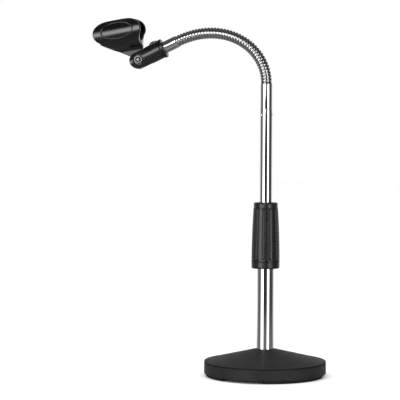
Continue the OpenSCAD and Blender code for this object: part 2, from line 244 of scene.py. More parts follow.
class Graph:
    """A node tree and short ways to add to it."""

    def __init__(self, tree):
        self.tree = tree
        self.principled = tree.nodes.get("Principled BSDF")

    def link(self, source, target):
        self.tree.links.new(source, target)

    def add(self, kind, inputs=None, **settings):
        """New node with its settings; each input is a value or the socket that feeds it."""
        node = self.tree.nodes.new(kind)
        for name, value in settings.items():
            setattr(node, name, value)
        for key, value in (inputs or {}).items():
            if isinstance(value, bpy.types.NodeSocket):
                self.link(value, node.inputs[key])
            else:
                node.inputs[key].default_value = value
        return node

    def calculate(self, operation, *values):
        return self.add("ShaderNodeMath", dict(enumerate(values)), operation=operation).outputs[0]

    def dot(self, first, second):
        node = self.add("ShaderNodeVectorMath", {0: first, 1: second}, operation="DOT_PRODUCT")
        return node.outputs["Value"]

    def noise(self, place, size, detail=3.0, roughness=0.55, stretch=(1, 1, 1)):
        """Noise from 0 to 1 with features of about that size in millimetres."""
        scaled = self.add("ShaderNodeMapping", {"Vector": place, "Scale": stretch}).outputs[0]
        node = self.add("ShaderNodeTexNoise", {
            "Vector": scaled, "Scale": 1 / (size * MM), "Detail": detail, "Roughness": roughness,
        })
        return node.outputs["Fac"]

    def ramp(self, value, stops):
        """Grey ramp with (position, level) stops."""
        node = self.add("ShaderNodeValToRGB", {0: value})
        node.color_ramp.interpolation = "EASE"
        while len(node.color_ramp.elements) < len(stops):
            node.color_ramp.elements.new(0.5)
        for element, (position, level) in zip(node.color_ramp.elements, stops):
            element.position = position
            element.color = (level, level, level, 1)
        return node.outputs["Color"]

    def mix(self, share, first, second):
        """Colour mix; first and second are colours, grey levels or sockets."""
        def colour(value):
            if isinstance(value, bpy.types.NodeSocket):
                return value
            return (*(value if isinstance(value, tuple) else grey(value)), 1)

        node = self.add("ShaderNodeMix", {0: share, 6: colour(first), 7: colour(second)}, data_type="RGBA")
        return node.outputs[2]

    def bump(self, height, depth, normal=None):
        """Bump of that depth in millimetres."""
        inputs = {"Height": height, "Distance": depth * MM, "Strength": 1.0}
        if normal is not None:
            inputs["Normal"] = normal
        return self.add("ShaderNodeBump", inputs).outputs[0]

    def edges(self, start, full):
        """1 on convex edges and 0 elsewhere."""
        pointed = self.add("ShaderNodeNewGeometry").outputs["Pointiness"]
        return self.ramp(pointed, [(start, 0), (full, 1)])


def grey(level):
    return (level,) * 3


def surface(name, colours, roughness, patch, metallic=0.0, grain=(), edge=None, **settings):
    """A principled material, its graph and its coordinates. colours and roughness are pairs mixed by noise of
    size patch; grain is a list of (size, depth) bumps; edge is the colour of worn edges. Sizes are in
    millimetres."""
    made = bpy.data.materials.new(name)
    made.use_nodes = True
    graph = Graph(made.node_tree)
    shader = graph.principled
    place = graph.add("ShaderNodeTexCoord").outputs["Object"]
    patches = graph.ramp(graph.noise(place, patch), [(0.3, 0), (0.7, 1)])
    colour = graph.mix(patches, *colours)
    if edge is not None:
        colour = graph.mix(graph.edges(0.53, 0.62), colour, edge)
    graph.link(colour, shader.inputs["Base Color"])
    graph.link(graph.mix(patches, *roughness), shader.inputs["Roughness"])
    shader.inputs["Metallic"].default_value = metallic
    normal = None
    for size, depth in grain:
        normal = graph.bump(graph.noise(place, size, detail=2.0), depth, normal)
    if normal is not None:
        graph.link(normal, shader.inputs["Normal"])
    for key, value in settings.items():
        shader.inputs[key.replace("_", " ")].default_value = value
    return made, graph, place


def powder_coat():
    """Black powder coat: fine orange peel with paler specks."""
    made, graph, place = surface(
        "powder_coat", (grey(0.013), grey(0.018)), (0.48, 0.58), 9,
        grain=[(1.1, 0.05), (0.35, 0.025)], edge=grey(0.03), Specular_IOR_Level=0.15,
    )
    paint = graph.principled.inputs["Base Color"]
    specks = graph.ramp(graph.noise(place, 0.8, detail=1.0), [(0.60, 0), (0.72, 1)])
    graph.link(graph.mix(specks, paint.links[0].from_socket, grey(0.035)), paint)
    return made


def rubber():
    """Black rubber: dull, with a fine skin."""
    return surface(
        "rubber", (grey(0.008), grey(0.012)), (0.75, 0.9), 5,
        grain=[(0.5, 0.04)], Specular_IOR_Level=0.2,
    )[0]


def tube_chrome():
    """Polished chrome with faint smears and the faintest drawing lines along the tube."""
    made, graph, place = surface(
        "tube_chrome", ((0.80, 0.81, 0.82), (0.84, 0.845, 0.85)), (0.018, 0.04), 30, metallic=1.0,
    )
    lines = graph.noise(place, 1.2, detail=3.0, stretch=(1, 1, 0.02))
    graph.link(graph.bump(lines, 0.0006), graph.principled.inputs["Normal"])
    return made


def coil_chrome():
    """Plated wire, a little duller than the tubes."""
    return surface(
        "coil_chrome", ((0.46, 0.47, 0.48), (0.56, 0.565, 0.57)), (0.08, 0.13), 4, metallic=1.0,
        grain=[(0.6, 0.006)],
    )[0]


def zinc_steel():
    """Zinc-plated steel, dull and a little blotchy."""
    return surface(
        "zinc_steel", ((0.17, 0.17, 0.18), (0.25, 0.25, 0.26)), (0.28, 0.40), 2.5, metallic=1.0,
        grain=[(0.4, 0.01)],
    )[0]


def grip_plastic():
    """Satin grip plastic with a fine moulded texture."""
    return surface(
        "grip_plastic", (grey(0.006), grey(0.009)), (0.26, 0.34), 6,
        grain=[(0.8, 0.004), (0.3, 0.002)], edge=grey(0.02), Specular_IOR_Level=0.45,
    )[0]


def clip_plastic():
    """Black satin plastic with a clear moulded skin."""
    return surface(
        "clip_plastic", (grey(0.0015), grey(0.0025)), (0.17, 0.22), 12,
        grain=[(1.5, 0.001)], edge=grey(0.004),
        Specular_IOR_Level=0.45, Coat_Weight=0.6, Coat_Roughness=0.12,
    )[0]


def barrel_plastic():
    """Plastic of the barrel and the lever: as the clip's, with a duller skin."""
    return surface(
        "barrel_plastic", (grey(0.002), grey(0.003)), (0.26, 0.32), 9,
        grain=[(1.2, 0.002)], edge=grey(0.006), Specular_IOR_Level=0.9,
    )[0]


def nylon():
    """Off-white nylon."""
    return surface("nylon", ((0.70, 0.70, 0.66), (0.78, 0.78, 0.74)), (0.42, 0.52), 5, grain=[(0.6, 0.02)])[0]


def brass():
    """Plain turned brass."""
    return surface(
        "brass", ((0.68, 0.50, 0.24), (0.76, 0.58, 0.30)), (0.22, 0.34), 3, metallic=1.0,
        grain=[(0.5, 0.01)],
    )[0]


# ---- shapes


def rounded(corners):
    """Closed outline through (r, z) or (r, z, rounding radius) corners."""
    outline = []
    for i, corner in enumerate(corners):
        here = np.array(corner[:2], float)
        radius = corner[2] if len(corner) > 2 else 0
        if radius == 0:
            outline.append(here)
            continue
        back = np.array(corners[i - 1][:2]) - here
        ahead = np.array(corners[(i + 1) % len(corners)][:2]) - here
        room = 0.49 * min(np.linalg.norm(back), np.linalg.norm(ahead))
        back, ahead = back / np.linalg.norm(back), ahead / np.linalg.norm(ahead)
        half = math.acos(np.clip(back @ ahead, -1, 1)) / 2
        run = min(radius / math.tan(half), room)
        turn = math.pi - 2 * half
        centre = here + (back + ahead) / np.linalg.norm(back + ahead) * run / math.cos(half)
        start, end = here + back * run - centre, here + ahead * run - centre
        steps = max(2, math.ceil(math.degrees(turn) / ARC_STEP))
        for step in range(steps + 1):
            share = step / steps
            swing = math.sin((1 - share) * turn) * start + math.sin(share * turn) * end
            outline.append(centre + swing / math.sin(turn))
    return outline


def lathe(outline, segments=SEGMENTS):
    """Solid of revolution about Z of a closed outline of (r, z) points."""
    outline = np.asarray(outline, float)
    ahead = np.roll(outline, -1, axis=0)
    if np.sum(outline[:, 0] * ahead[:, 1] - ahead[:, 0] * outline[:, 1]) < 0:
        outline = outline[::-1]
    points, rings = [], []
    for r, z in outline:
        count = 1 if r < 1e-6 else segments
        rings.append([len(points) + j % count for j in range(segments + 1)])
        turns = 2 * math.pi * np.arange(count) / count
        points += [(r * math.cos(a), r * math.sin(a), z) for a in turns]
    faces = []
    for lower, upper in zip(rings, rings[1:] + rings[:1]):
        for j in range(segments):
            face = tuple(dict.fromkeys((lower[j], lower[j + 1], upper[j + 1], upper[j])))
            if len(face) > 2:
                faces.append(face)
    return np.array(points), faces


def ring_grid(rings, closed=False):
    """Faces over rings of points, capped at both ends unless the rings close on themselves."""
    rows, columns = rings.shape[:2]
    faces = []
    for i in range(rows if closed else rows - 1):
        here, there = i * columns, (i + 1) % rows * columns
        for j in range(columns):
            right = (j + 1) % columns
            faces.append((here + j, here + right, there + right, there + j))
    if not closed:
        faces.append(tuple(range(columns))[::-1])
        faces.append(tuple((rows - 1) * columns + j for j in range(columns)))
    return rings.reshape(-1, 3), faces


def unit(vectors):
    """Rows of vectors, each made one long."""
    return vectors / np.linalg.norm(vectors, axis=1)[:, None]


def oval_rings(path, across, third, radius, width, sides):
    """Rings of points round a path; radius is half the oval along across, and width is half along third."""
    turns = 2 * math.pi * np.arange(sides) / sides
    upward, sideways = np.cos(turns)[:, None], np.sin(turns)[:, None]
    return path[:, None] + radius * upward * across[:, None] + width * sideways * third[:, None]


def tube_along(path, sides_at, radius, width=None, sides=12):
    """Bar of round or oval section along a path; sides_at holds the direction of its radius at each point."""
    ahead = unit(np.gradient(path, axis=0))
    across = unit(sides_at - np.sum(sides_at * ahead, axis=1)[:, None] * ahead)
    return ring_grid(oval_rings(path, across, np.cross(ahead, across), radius, width or radius, sides))


def joined(*shapes):
    """Several shapes as one."""
    points, faces, count = [], [], 0
    for shape_points, shape_faces in shapes:
        points.append(shape_points)
        faces += [tuple(i + count for i in face) for face in shape_faces]
        count += len(shape_points)
    return np.vstack(points), faces


def placed(shape, place):
    """The shape moved by a 4 x 4 matrix in millimetres."""
    matrix = np.array(place, float)
    points, faces = shape
    return points @ matrix[:3, :3].T + matrix[:3, 3], faces


def frame_at(origin, ahead):
    """Place whose X points ahead in the XZ plane and whose Y stays Y."""
    x = Vector(ahead).normalized()
    y = Vector((0, 1, 0))
    columns = [x, y, x.cross(y), Vector(origin)]
    return Matrix([[columns[c][r] for c in range(4)] for r in range(3)] + [[0, 0, 0, 1]])


Z_TO_X = Matrix.Rotation(math.radians(90), 4, "Y")
Z_TO_Y = Matrix.Rotation(math.radians(-90), 4, "X")
Z_TO_MINUS_Y = Matrix.Rotation(math.radians(90), 4, "X")


def smooth_max(a, b, blend):
    """Larger of two fields, with a fillet where they meet: overlaps, and cuts with -b."""
    overlap = np.maximum(blend - np.abs(a - b), 0) / blend
    return np.maximum(a, b) + overlap * overlap * blend / 4


def smooth_min(a, b, blend):
    """Smaller of two fields, with a fillet where they meet: unions."""
    return -smooth_max(-a, -b, blend)


def oval_field(x, y, half_x, half_y, power=2.0):
    """About the distance to a superellipse, negative inside."""
    a, b = np.abs(x) / half_x, np.abs(y) / half_y
    level = np.maximum(a**power + b**power, 1e-9)
    size = level ** (1 / power)
    slope = size ** (1 - power) * np.hypot(a ** (power - 1) / half_x, b ** (power - 1) / half_y)
    return (size - 1) / np.maximum(slope, 1e-6)


def slab_field(along, start, end):
    """Distance to the space between two planes, negative inside."""
    return np.abs(along - (start + end) / 2) - (end - start) / 2


def polygon_field(x, y, corners):
    """Distance to a polygon, negative inside."""
    nearest = np.full(x.shape, np.inf)
    inside = np.zeros(x.shape, bool)
    for (ax, ay), (bx, by) in zip(corners, corners[1:] + corners[:1]):
        edge_x, edge_y = bx - ax, by - ay
        share = np.clip(((x - ax) * edge_x + (y - ay) * edge_y) / (edge_x**2 + edge_y**2), 0, 1)
        nearest = np.minimum(nearest, (x - ax - edge_x * share) ** 2 + (y - ay - edge_y * share) ** 2)
        if ay != by:
            inside ^= ((ay > y) != (by > y)) & (x < edge_x * (y - ay) / edge_y + ax)
    return np.where(inside, -1, 1) * np.sqrt(nearest)


def edge_crossings(grid, values, pitch, axis):
    """Of the grid's edges along an axis: which cross the surface, where, and which start inside it."""
    here, there = [slice(None)] * 3, [slice(None)] * 3
    here[axis], there[axis] = slice(0, -1), slice(1, None)
    here, there = tuple(here), tuple(there)
    start, end = values[here], values[there]
    crosses = (start < 0) != (end < 0)
    where = grid[here].copy()
    where[..., axis] += pitch * np.where(crosses, start / np.where(crosses, start - end, 1), 0)
    return crosses, where, start < 0


def add_to_cells(axis, crosses, where, total, hits):
    """Add each crossing to the four cells round its edge."""
    one, two = (axis + 1) % 3, (axis + 2) % 3
    for step_one, step_two in ((0, 0), (0, 1), (1, 0), (1, 1)):
        window = [slice(None)] * 3
        window[one] = slice(step_one, step_one + hits.shape[one])
        window[two] = slice(step_two, step_two + hits.shape[two])
        window = tuple(window)
        total += where[window] * crosses[window][..., None]
        hits += crosses[window]


def edge_faces(axis, crosses, starts_inside, index):
    """A face for each crossed edge, through the points of the four cells round it."""
    one, two = (axis + 1) % 3, (axis + 2) % 3
    at = np.argwhere(crosses)
    at = at[(at[:, one] > 0) & (at[:, two] > 0)]
    at = at[(at[:, one] < index.shape[one]) & (at[:, two] < index.shape[two])]
    corners = []
    for back_one, back_two in ((1, 1), (0, 1), (0, 0), (1, 0)):
        cell = at.copy()
        cell[:, one] -= back_one
        cell[:, two] -= back_two
        corners.append(index[tuple(cell.T)])
    quads = np.stack(corners, axis=1)
    flip = ~starts_inside[tuple(at.T)]
    quads[flip] = quads[flip][:, ::-1]
    return [tuple(quad) for quad in quads.tolist()]


def surface_net(field, lowest, highest, pitch):
    """Mesh of the surface where field is 0. field takes (n, 3) points and is negative inside."""
    lowest = np.asarray(lowest, float)
    counts = np.ceil((np.asarray(highest) - lowest) / pitch).astype(int) + 1
    axes = [lowest[k] + pitch * np.arange(counts[k]) for k in range(3)]
    grid = np.stack(np.meshgrid(*axes, indexing="ij"), axis=-1)
    values = field(grid.reshape(-1, 3)).reshape(counts)
    total, hits = np.zeros((*(counts - 1), 3)), np.zeros(counts - 1)
    edges = [edge_crossings(grid, values, pitch, axis) for axis in range(3)]
    for axis, (crosses, where, _) in enumerate(edges):
        add_to_cells(axis, crosses, where, total, hits)
    used = hits > 0
    index = np.full(used.shape, -1)
    index[used] = np.arange(used.sum())
    points = total[used] / hits[used][:, None]
    faces = []
    for axis, (crosses, _, starts_inside) in enumerate(edges):
        faces += edge_faces(axis, crosses, starts_inside, index)
    return settle(points, field, pitch), faces


def settle(points, field, pitch):
    """Points moved along the field's slope on to its zero surface, a short way at a time."""
    step, rounds = 0.02, 6
    for _ in range(rounds):
        value = field(points)
        slope = np.stack(
            [(field(points + step * axis) - field(points - step * axis)) / (2 * step) for axis in np.eye(3)],
            axis=1,
        )
        move = (value / np.maximum(np.sum(slope**2, axis=1), 0.05))[:, None] * slope
        length = np.linalg.norm(move, axis=1)[:, None]
        points = points - move * np.minimum(1, 0.4 * pitch / np.maximum(length, 1e-9))
    return points


def make_piece(name, shape, material, body=None, replaced=(), sharp=38):
    """A Blender object of a shape in millimetres, riding on a body and standing for the nodes it replaces.
    Edges that turn by more than sharp degrees stay sharp."""
    points, faces = shape
    mesh = bpy.data.meshes.new(name)
    mesh.from_pydata((points * MM).tolist(), [], faces)
    mesh.validate()
    mesh.shade_smooth()
    mesh.set_sharp_from_angle(angle=math.radians(sharp))
    mesh.materials.append(MATERIALS[material])
    piece = add_object(name, mesh)
    if body:
        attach(piece, body)
    if replaced:
        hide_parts(*replaced)
    return piece


# ---- base

CONE_SLOPE = math.radians(13.8)
# The groove under the cone's edge: its place below the rim, half its height, and its depth
CREASE_DROP = 1.0
CREASE_HALF = 0.55
CREASE_DEPTH = 2.4
LIP_W = 1.15
BOLT_HOLE_R = 4.3
BOSS_R = 15
BOSS_DRAFT = 3
HOLLOW_R = 60
HOLLOW_RIM = 4.6
CONE_THICK = 14
POCKET_IN, POCKET_OUT = 62.85, 73.55


def make_base():
    """Cast base: rim with eased edges, a fine groove under the cone's edge, a small lip round the tube, and a
    hollow underside with a boss."""
    radius, bottom, top = round_size("base_casting")
    socket_r, socket_z = high("outer_tube").x + FIT, low("outer_tube").z
    lip_r = socket_r + LIP_W
    rim_z = top - (radius - lip_r) * math.tan(CONE_SLOPE)
    crease, crease_r = rim_z - CREASE_DROP, radius - CREASE_DEPTH
    crease_low, crease_high = crease - CREASE_HALF, crease + CREASE_HALF
    boss_z, pocket_z = high("base_washer").z, high("left_foot_pad").z
    outline = rounded([
        (BOLT_HOLE_R, boss_z), (BOSS_R, boss_z, 0.8), (BOSS_R + BOSS_DRAFT, top - CONE_THICK, 2),
        (HOLLOW_R, bottom + HOLLOW_RIM, 2), (HOLLOW_R, bottom, 0.5),
        (POCKET_IN, bottom), (POCKET_IN, pocket_z), (POCKET_OUT, pocket_z), (POCKET_OUT, bottom),
        (radius, bottom, 1.0), (radius, crease_low, 0.3), (crease_r, crease_low), (crease_r, crease_high),
        (radius - 0.1, crease_high, 0.3), (radius - 0.1, rim_z + 0.6, 1.6), (radius - 3, rim_z + 1.0, 2.0),
        (lip_r, top, 0.7), (socket_r, top, 0.2), (socket_r, socket_z), (BOLT_HOLE_R, socket_z),
    ])
    make_piece("base", lathe(outline, 192), "powder_coat", "stand", ["base_casting"])


PAD_ROWS = 72
PAD_GROOVES = 3
GROOVE_HALF_W = 0.6
GROOVE_FLOOR = 0.3
GROOVE_DEPTH = 0.6
GROOVE_EASE = 0.15


def make_foot_pad(node):
    """Rubber pad: arc with eased edges and shallow grooves along its underside."""
    points = np.array([v.co for v in frame["nodes"][node].data.vertices]) / MM
    turn = np.arctan2(points[:, 1], points[:, 0])
    middle = math.atan2(np.sin(turn).mean(), np.cos(turn).mean())
    reach = np.abs(np.angle(np.exp(1j * (turn - middle)))).max()
    radii = np.hypot(points[:, 0], points[:, 1])
    inner, outer, top = radii.min(), radii.max(), points[:, 2].max()
    outline = [(inner, top), (inner, 0, 0.7)]
    for k in range(PAD_GROOVES):
        r = inner + (outer - inner) * (k + 1) / (PAD_GROOVES + 1)
        outline += [(r - GROOVE_HALF_W, 0, GROOVE_EASE), (r - GROOVE_FLOOR, GROOVE_DEPTH, GROOVE_EASE)]
        outline += [(r + GROOVE_FLOOR, GROOVE_DEPTH, GROOVE_EASE), (r + GROOVE_HALF_W, 0, GROOVE_EASE)]
    outline = np.array(rounded(outline + [(outer, 0, 0.7), (outer, top)]))
    r, z = outline[:, 0], outline[:, 1]
    rings = []
    for i in range(PAD_ROWS):
        angle = middle + reach * (2 * i / (PAD_ROWS - 1) - 1)
        rings.append(np.stack([r * math.cos(angle), r * math.sin(angle), z], axis=1))
    name = node.replace("_pad", "_rubber")
    make_piece(name, ring_grid(np.array(rings)), "rubber", "stand", [node])


HEX_TURNS = [math.radians(a) for a in (30, 90, 150)]
HEX_EASE = 0.25
CHAMFER_SLOPE = 1.7


def hex_field(flats, bottom, top, chamfer=-0.1):
    """Hexagonal prism along Z with chamfered corners; flats is half the width across flats."""
    def field(p):
        x, y, z = p.T
        sides = np.maximum.reduce([np.abs(x * math.cos(a) + y * math.sin(a)) for a in HEX_TURNS]) - flats
        ends = slab_field(z, bottom, top)
        nose = (np.hypot(x, y) + CHAMFER_SLOPE * ends - flats + chamfer) / 2
        return smooth_max(smooth_max(sides, ends, HEX_EASE), nose, HEX_EASE)
    return field


BOLT_SHANK_R = 4
BOLT_DISH = 0.4


def make_base_bolt():
    """Hex bolt seen from below: chamfered head with a shallow dish, shank hidden in the casting."""
    bottom, top = low("base_bolt").z, high("base_bolt").z
    head_top = low("base_lock_washer").z
    flats = high("base_bolt").y
    field = hex_field(flats, bottom, head_top)

    def bolt(p):
        x, y, z = p.T
        dish = np.maximum(np.hypot(x, y) - flats * 0.55, z - bottom - BOLT_DISH)
        return smooth_max(field(p), -dish, 0.3)

    reach, past = 8.2, 0.6
    head = surface_net(bolt, (-reach, -reach, bottom - past), (reach, reach, head_top + past), 0.3)
    shank = [(0, head_top), (BOLT_SHANK_R, head_top), (BOLT_SHANK_R, top, 0.6), (0, top)]
    shape = joined(head, lathe(rounded(shank), 48))
    make_piece("base_hex_bolt", shape, "zinc_steel", "stand", ["base_bolt"])


# ---- tubes and clutch

TUBE_WALL = 1


def make_outer_tube():
    """Plain tube with eased outer edges."""
    radius, bottom, top = round_size("outer_tube")
    bore = radius - TUBE_WALL
    shape = lathe(rounded([(bore, bottom), (radius, bottom, 0.3), (radius, top, 0.3), (bore, top)]), 160)
    make_piece("outer_tube_chrome", shape, "tube_chrome", "stand", ["outer_tube"])


DIMPLE_R = 1.9
DIMPLE_DEPTH = 0.8
DIMPLE_DROP = 7.2
DIMPLE_TURNS = (-124, -4, 116)


def make_inner_tube():
    """Inner tube: rolled edge at the top, and three punched dimples that hold the plug."""
    radius, bottom, top = round_size("inner_tube")
    dimple_z = top - DIMPLE_DROP
    rows = dimple_z + np.linspace(-DIMPLE_R, DIMPLE_R, 15)
    outline = rounded(
        [(radius - TUBE_WALL, bottom), (radius, bottom, 0.4)] + [(radius, z) for z in rows]
        + [(radius, top - 0.5, 0.5), (radius - 0.4, top, 0.2), (radius - TUBE_WALL, top)]
    )
    points, faces = lathe(outline, 192)
    turns = np.arctan2(points[:, 1], points[:, 0])
    outside = np.hypot(points[:, 0], points[:, 1]) > radius - 0.1
    for degrees in DIMPLE_TURNS:
        round_by = radius * np.angle(np.exp(1j * (turns - math.radians(degrees))))
        reach = np.minimum(np.hypot(round_by, points[:, 2] - dimple_z) / DIMPLE_R, 1)
        depth = np.where(outside, DIMPLE_DEPTH * (1 - reach**2) ** 2, 0)
        points[:, :2] *= (1 - depth / radius)[:, None]
    make_piece("inner_tube_chrome", (points, faces), "tube_chrome", "inner_tube", ["inner_tube"])


def make_collar():
    """Plain band under the grip with a rounded lower edge."""
    radius, bottom, top = round_size("clutch_collar")
    bore, sleeve = high("outer_tube").x + FIT, high("clutch_sleeve").x
    ledge = bottom + 2.5
    outline = rounded([
        (bore, bottom, 0.3), (radius, bottom, 1.6), (radius, top, 0.4), (sleeve, top), (sleeve, ledge),
        (bore, ledge),
    ])
    make_piece("clutch_band", lathe(outline), "grip_plastic", "stand", ["clutch_collar"])


FLUTES = 12
FLUTE_TURN = math.radians(-61)
FLUTE_PITCH = 2 * math.pi / FLUTES
FLUTE_HALF_W = 1.7
FLUTE_DEPTH = 1.25
# Where the flutes stop above the grip's foot and below its top, and how far they take to fade out there
FLUTE_LOW, FLUTE_HIGH = 2.2, 7.2
FADE_LOW, FADE_HIGH = 4, 1.5
GRIP_TAPER = 2.2
GRIP_STEPS = 40
GRIP_COLLAR_R = 14.95
GRIP_HOLE_GAP = 0.35
GRIP_WALL = 5


def grip_column_angles(radius):
    """Angles round the grip, closer together at the flutes' edges."""
    flute = FLUTE_HALF_W * 1.25 / radius
    land = math.pi / FLUTES - flute
    across = np.sin(np.linspace(-math.pi / 2, math.pi / 2, 15)[:-1])
    columns = []
    for i in range(FLUTES):
        middle = FLUTE_TURN + FLUTE_PITCH * i
        columns += [middle + flute * a for a in across]
        columns += [middle + math.pi / FLUTES + land * a for a in across]
    return np.array(columns)


def grip_outline(hole):
    """Outline without flutes: ridge, taper and collar outside, and the collet's taper inside."""
    ridge_r, bottom, top = round_size("clutch_grip")
    collet_r, sleeve = high("clutch_collet").x, high("clutch_sleeve").x + FIT
    start, end = bottom + FLUTE_LOW, top - FLUTE_HIGH
    outer = [(ridge_r, bottom, 0.4), (ridge_r + 0.05, bottom + 1.7, 0.6), (ridge_r - 0.45, start, 0.3)]
    for k in range(1, GRIP_STEPS):
        share = (1 - math.cos(math.pi * k / GRIP_STEPS)) / 2
        outer.append((ridge_r - 0.25 - GRIP_TAPER * share**1.8, start + (end - start) * share))
    outer += [
        (ridge_r - 2.5, end, 0.3), (GRIP_COLLAR_R, end + 0.5, 0.2), (GRIP_COLLAR_R, top - 0.4, 1.7),
        (GRIP_COLLAR_R - 3, top, 0.6), (hole + 1, top - 0.6, 0.5), (hole, top - 1.1, 0.2),
    ]
    inner = [
        (hole, top - 6), (collet_r - 2, top - 8), (collet_r + 0.15, bottom + 56), (sleeve, bottom + 55),
        (sleeve, bottom),
    ]
    return rounded(outer + inner)


def flute_depths(r, z, columns, bottom, top):
    """Depth of the flutes round one ring."""
    fade = np.clip(min((z - bottom - FLUTE_LOW) / FADE_LOW, (top - FLUTE_HIGH - z) / FADE_HIGH), 0, 1)
    centred = (columns - FLUTE_TURN + FLUTE_PITCH / 2) % FLUTE_PITCH - FLUTE_PITCH / 2
    cut = np.maximum(1 - (centred * r / FLUTE_HALF_W) ** 2, 0) ** 0.6
    return FLUTE_DEPTH * fade * fade * (3 - 2 * fade) * cut


def make_grip():
    """Tapered grip with twelve flutes, a ridge at its foot and a plain collar at its top."""
    ridge_r, bottom, top = round_size("clutch_grip")
    hole = high("inner_tube").x + GRIP_HOLE_GAP
    rings = []
    for r, z in grip_outline(hole):
        columns = grip_column_angles(min(r, ridge_r))
        outside = r >= hole + GRIP_WALL
        radius = r - outside * flute_depths(r, z, columns, bottom, top)
        ring = [radius * np.cos(columns), radius * np.sin(columns), np.full_like(columns, z)]
        rings.append(np.stack(ring, axis=1))
    shape = ring_grid(np.array(rings), closed=True)
    make_piece("fluted_grip", shape, "grip_plastic", "clutch_grip", ["clutch_grip"], sharp=50)


# ---- gooseneck


class Neck:
    """The gooseneck's centreline: circular arcs that meet at the joints, straight inside the ferrules."""

    def __init__(self):
        hinges = [joint for joint in frame["joints"] if joint["name"].startswith("neck_bend")]
        self.pairs = [(joint["parent"], joint["child"]) for joint in hinges]
        knots = [np.array((0, high("lower_ferrule").z))]
        knots += [np.array((joint["pos_m"][0], joint["pos_m"][2])) / MM for joint in hinges]
        headings = [0.0]
        for start, end in zip(knots, knots[1:]):
            chord = math.atan2(start[0] - end[0], end[1] - start[1])
            headings.append(2 * chord - headings[-1])
        axis = JOINTS["clip_turn"]["axis"]
        headings.append(math.atan2(-axis[0], axis[2]))
        bend = headings[1] - headings[0]
        self.link = np.linalg.norm(knots[1] - knots[0]) * bend / (2 * math.sin(bend / 2))
        self.headings = np.array(headings)
        self.knots = np.array(knots)
        self.count = len(knots)
        self.length = self.link * self.count

    def at(self, along):
        """Points (n, 3) at distances along the neck, and the directions in the XZ plane square to it."""
        along = np.asarray(along, float)
        link = np.clip(np.floor(along / self.link).astype(int), 0, self.count - 1)
        into = np.clip(along - link * self.link, 0, self.link)
        past = along - link * self.link - into
        first = self.headings[link]
        bend = self.headings[link + 1] - first
        heading = first + bend * into / self.link
        radius = self.link / bend
        knot_x, knot_z = self.knots[link].T
        x = knot_x + radius * (np.cos(heading) - np.cos(first)) - past * np.sin(heading)
        z = knot_z + radius * (np.sin(heading) - np.sin(first)) + past * np.cos(heading)
        level = np.zeros_like(x)
        return np.stack([x, level, z], axis=1), np.stack([np.cos(heading), level, np.sin(heading)], axis=1)


# The coil's radius, its oval wire, and how far the core's skin lies inside the middle of the wire
COIL_R = (high("gooseneck_link_4") - low("gooseneck_link_4")).y / 2
WIRE_PITCH = 3.8
WIRE_HALF_W = 1.6
WIRE_HALF_H = 0.75
CORE_DROP = 0.3
TURN_STEPS = 48
# How high the coil starts in the lower ferrule, and how far it goes on into the upper one
LOWER_FLOOR = 15.8
HEAD_TUCK = 11
UPPER_LEN = 18.2
UPPER_FLOOR = 6.2
STUD_R = 4.1


def coil_stretch(neck, start, end):
    """Wire and core between two distances along the neck."""
    helix_r = COIL_R - WIRE_HALF_H
    turns = np.arange(round(start / WIRE_PITCH * TURN_STEPS), round(end / WIRE_PITCH * TURN_STEPS) + 1)
    angle = 2 * math.pi * turns / TURN_STEPS
    centre, outward = neck.at(turns * WIRE_PITCH / TURN_STEPS)
    radial = np.cos(angle)[:, None] * outward + np.sin(angle)[:, None] * np.array([(0.0, 1.0, 0.0)])
    wire = tube_along(centre + helix_r * radial, radial, WIRE_HALF_H, WIRE_HALF_W)
    centre, outward = neck.at(np.linspace(start, end, max(3, round(end - start))))
    core = tube_along(centre, outward, helix_r - CORE_DROP, sides=48)
    return joined(wire, core)


def make_neck(neck):
    """Half-flat wire wound on a core, in pieces that each span one joint; the pieces between the foot and the
    head ride on no body.
    """
    foot_tuck = high("lower_ferrule").z - LOWER_FLOOR - low("lower_ferrule").z
    half = neck.link / 2
    foot = coil_stretch(neck, -foot_tuck, half)
    make_piece("coil_foot", foot, "coil_chrome", "inner_tube", ["gooseneck_link_1"], sharp=60)
    for k, (parent, child) in enumerate(neck.pairs):
        start, end = neck.link * k + half, neck.link * (k + 1) + half
        replaced = [f"gooseneck_link_{k + 2}"] if k + 2 < neck.count else []
        shape = coil_stretch(neck, start, end)
        piece = make_piece(f"coil_{k + 1}", shape, "coil_chrome", None, replaced, sharp=60)
        ends = neck.at([start, end])[0] * MM
        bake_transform(piece)
    head = coil_stretch(neck, neck.length - half, neck.length + HEAD_TUCK)
    make_piece("coil_head", head, "coil_chrome", "neck_end", [f"gooseneck_link_{neck.count}"], sharp=60)


def make_lower_ferrule():
    """Ferrule with a rolled mouth round the coil and a soft foot on the tube."""
    radius, bottom, top = round_size("lower_ferrule")
    coil, floor = COIL_R + FIT, bottom + LOWER_FLOOR
    outline = rounded([
        (STUD_R, bottom), (radius - 0.5, bottom, 0.2), (radius, bottom + 0.6, 0.4), (radius, top - 1.6, 1.2),
        (radius - 0.5, top, 0.25), (coil, top, 0.05), (coil, floor), (STUD_R, floor),
    ])
    make_piece("lower_ferrule_chrome", lathe(outline, 128), "tube_chrome", "inner_tube", ["lower_ferrule"])


